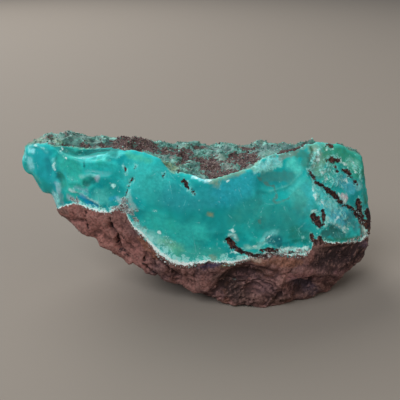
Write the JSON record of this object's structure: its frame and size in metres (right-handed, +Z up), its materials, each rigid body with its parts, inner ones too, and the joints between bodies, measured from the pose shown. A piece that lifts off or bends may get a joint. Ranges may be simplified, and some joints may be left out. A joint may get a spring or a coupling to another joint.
{
  "type": "rough chrysoprase specimen",
  "caption": "Long rough block of stone with a broken face of blue-green chalcedony between an ironstone base and a drusy crust; it lies on a flat patch.",
  "frame": {"origin": "on the surface the stone lies on, under the middle of its outline", "axes": "+X along the stone from its thin overhanging end to its blunt end, -Y towards the broken face that shows the green seam, +Z up"},
  "size_m": [0.1212, 0.0516, 0.0541],
  "materials": {
    "stone": "waxy blue-green chalcedony on the broken face, matt red-brown ironstone below, grey-green drusy crust above"
  },
  "bodies": {
    "root": {"stone": "stone"}
  },
  "joints": []
}
